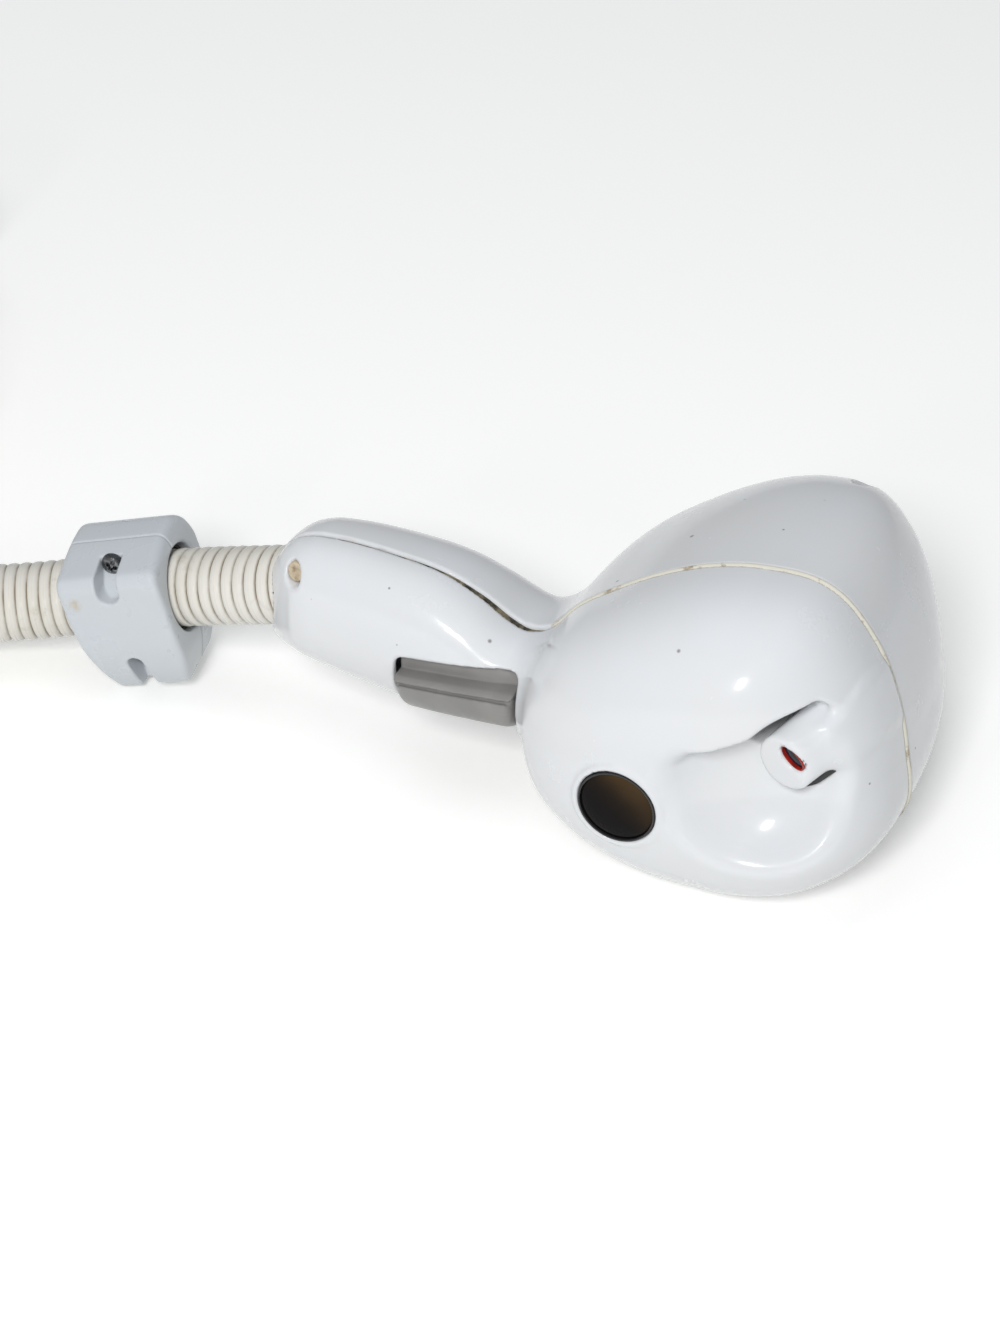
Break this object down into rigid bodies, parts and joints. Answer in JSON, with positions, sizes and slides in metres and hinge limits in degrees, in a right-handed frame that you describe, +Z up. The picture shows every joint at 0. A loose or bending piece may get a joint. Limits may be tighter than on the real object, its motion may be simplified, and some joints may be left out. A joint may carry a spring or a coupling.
{
  "type": "optical scanning handpiece on a hose",
  "caption": "Trigger handpiece with a bulbous optical head, a round window and a tilted emitter nozzle in a scooped dish, on a ribbed hose with a clamp collar and connector.",
  "frame": {"origin": "bottom centre of the handpiece's own box, on the surface it lies on, without the hose, its collar and its connector", "axes": "+X from the hose end of the grip towards the head, -Y is where the window and the nozzle look, +Z up"},
  "size_m": [0.6861, 0.3049, 0.1041],
  "materials": {
    "shell_white": "high gloss moulded white",
    "seam_cream": "matt cream seal bead",
    "dark_glass": "near black polished glass",
    "bezel_red": "dark red",
    "trigger_grey": "satin warm grey",
    "alloy": "bead blasted",
    "steel": "plain zinc",
    "brass": "turned",
    "board_green": "solder mask",
    "black_plastic": "fine grain black",
    "cream_plastic": "cream",
    "collar_white": "satin pale blue grey white",
    "liner_rubber": "soft black",
    "hose_cream": "satin cream white, dirt in the grooves"
  },
  "bodies": {
    "handpiece": {"front_shell": "shell_white", "rear_shell": "shell_white", "seam_gasket": "seam_cream", "round_window": "dark_glass", "emitter_lens": "dark_glass", "receiver_lens": "dark_glass", "emitter_bezel": "bezel_red", "emitter_barrel": "alloy", "emitter_clamp": "alloy", "optical_bench": "alloy", "hose_stop": "alloy", "plug_body": "alloy", "bench_screw_1": "steel", "bench_screw_2": "steel", "bench_screw_3": "steel", "handle_screw": "steel", "head_screw_1": "steel", "head_screw_2": "steel", "head_screw_3": "steel", "trigger_pin": "steel", "trigger_bracket": "steel", "bracket_screw_1": "steel", "bracket_screw_2": "steel", "switch_pin": "steel", "trigger_spring": "steel", "collar_screw_top": "steel", "collar_screw_bottom": "steel", "collar_nut_top": "steel", "collar_nut_bottom": "steel", "standoff_1": "brass", "standoff_2": "brass", "standoff_3": "brass", "standoff_4": "brass", "main_board": "board_green", "sensor_board": "board_green", "window_retainer": "black_plastic", "receiver_barrel": "black_plastic", "emitter_lead": "black_plastic", "sensor_chip": "black_plastic", "processor": "black_plastic", "capacitor_1": "black_plastic", "capacitor_2": "black_plastic", "cable_bundle": "black_plastic", "trigger_switch": "black_plastic", "contact_insert": "black_plastic", "sensor_ribbon": "cream_plastic", "cable_plug": "cream_plastic", "handle_screw_plug": "cream_plastic", "collar_front": "collar_white", "collar_rear": "collar_white", "collar_liner": "liner_rubber", "plug_sleeve": "liner_rubber", "hose_lead": "hose_cream", "hose_coil": "hose_cream", "hose_tail": "hose_cream"},
    "trigger": {"trigger": "trigger_grey"},
    "plunger": {"switch_plunger": "bezel_red"},
    "coupling": {"coupling_ring": "steel"}
  },
  "joints": [
    {"name": "trigger_pull", "type": "hinge", "parent": "handpiece", "child": "trigger", "pos_m": [-0.0199, -0.0197, 0.0435], "axis": [0, 1, 0], "range_deg": [0, 4.5], "stiffness_Nm_per_rad": 1.5, "springref_deg": -2.86, "deforming": ["trigger_spring"]},
    {"name": "switch_press", "type": "slide", "parent": "handpiece", "child": "plunger", "axis": [0, 0, 1], "range_m": [0, 0.0019]},
    {"name": "coupling_turn", "type": "hinge", "parent": "handpiece", "child": "coupling", "pos_m": [-0.3631, 0.1554, 0.0454], "axis": [1, 0, 0], "continuous": true}
  ],
  "couplings": [
    {"joint": "switch_press", "follows": "trigger_pull", "m_per_rad": 0.024}
  ]
}
